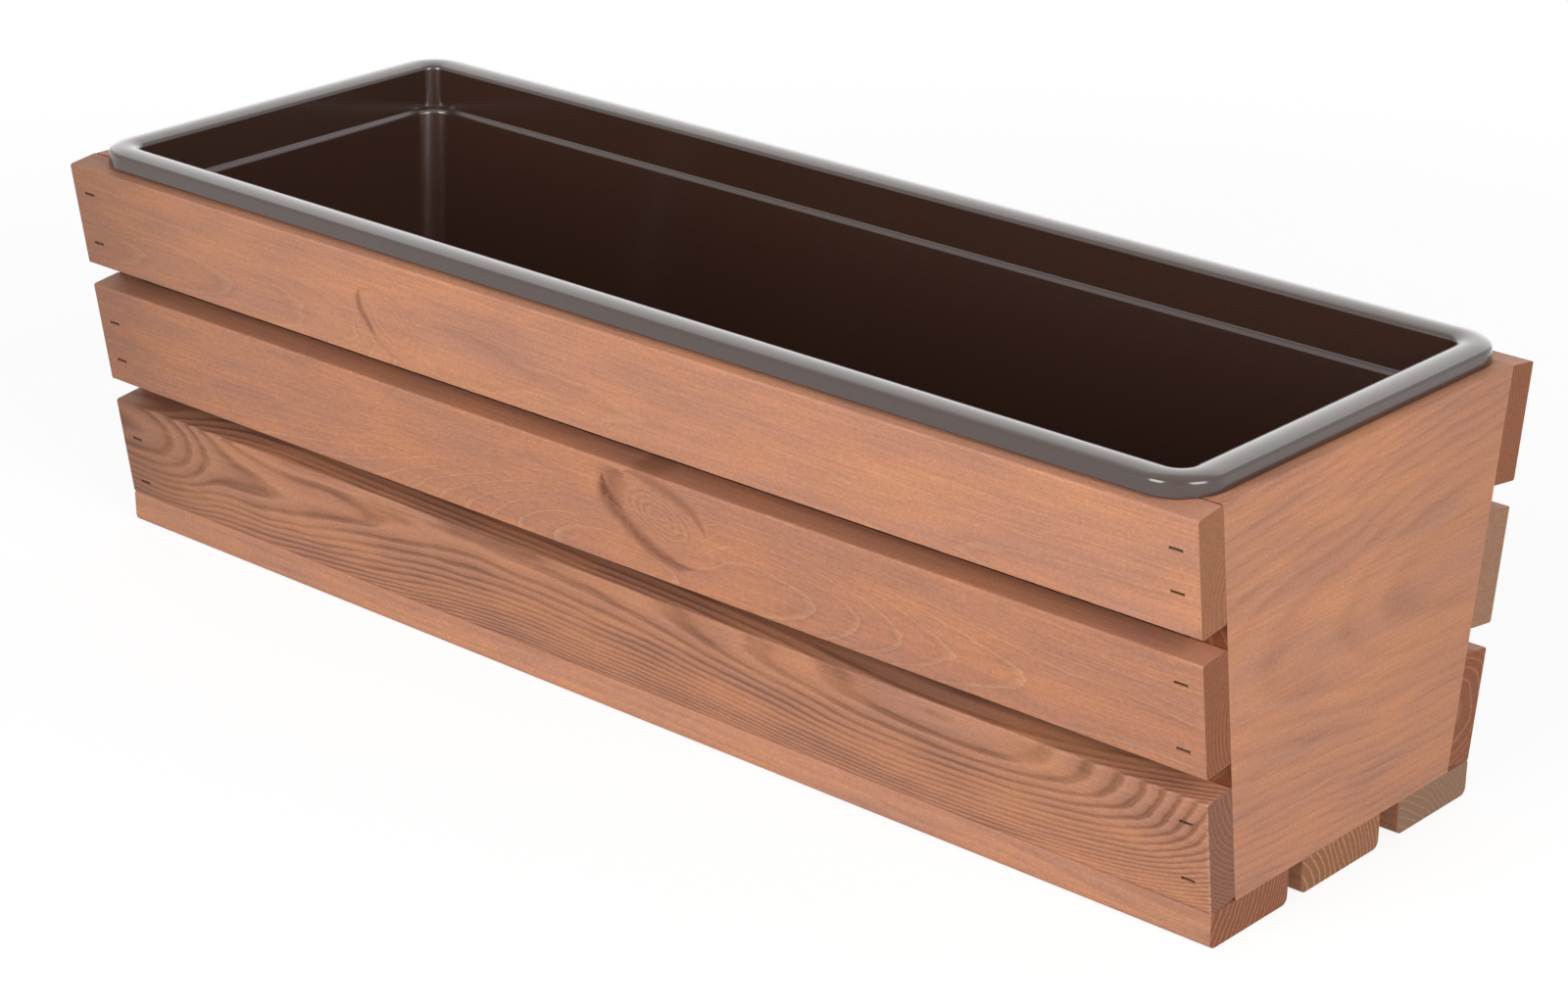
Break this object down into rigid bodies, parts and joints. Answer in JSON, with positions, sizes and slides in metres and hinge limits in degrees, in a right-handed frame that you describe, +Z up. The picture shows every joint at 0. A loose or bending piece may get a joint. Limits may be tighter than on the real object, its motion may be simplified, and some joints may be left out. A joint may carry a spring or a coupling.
{
  "type": "window box planter",
  "caption": "Slatted softwood window box with outward-leaning long sides, solid end panels, base battens and a lift-out moulded plastic liner with a rolled rim.",
  "frame": {"origin": "middle of the footprint, level with the underside of the base battens", "axes": "+X along the length to the right, +Y from the front to the back, +Z up"},
  "size_m": [0.6, 0.2134, 0.1831],
  "materials": {
    "stained_wood": "satin reddish-brown glaze over softwood grain",
    "liner_plastic": "glossy dark brown moulding",
    "staple_wire": "dull galvanised wire, sunk below the wood"
  },
  "bodies": {
    "trough": {"front_slat_bottom": "stained_wood", "front_slat_middle": "stained_wood", "front_slat_top": "stained_wood", "rear_slat_bottom": "stained_wood", "rear_slat_middle": "stained_wood", "rear_slat_top": "stained_wood", "end_panel_left": "stained_wood", "end_panel_right": "stained_wood", "base_batten_front": "stained_wood", "base_batten_middle": "stained_wood", "base_batten_rear": "stained_wood", "staples_front_bottom_left": "staple_wire", "staples_front_bottom_right": "staple_wire", "staples_front_middle_left": "staple_wire", "staples_front_middle_right": "staple_wire", "staples_front_top_left": "staple_wire", "staples_front_top_right": "staple_wire", "staples_rear_bottom_left": "staple_wire", "staples_rear_bottom_right": "staple_wire", "staples_rear_middle_left": "staple_wire", "staples_rear_middle_right": "staple_wire", "staples_rear_top_left": "staple_wire", "staples_rear_top_right": "staple_wire", "staples_base_front_left": "staple_wire", "staples_base_front_right": "staple_wire", "staples_base_middle_left": "staple_wire", "staples_base_middle_right": "staple_wire", "staples_base_rear_left": "staple_wire", "staples_base_rear_right": "staple_wire"},
    "liner_tub": {"liner": "liner_plastic"}
  },
  "joints": [
    {"name": "liner_lift", "type": "slide", "parent": "trough", "child": "liner_tub", "axis": [0, 0, 1], "range_m": [0, 0.2]}
  ]
}
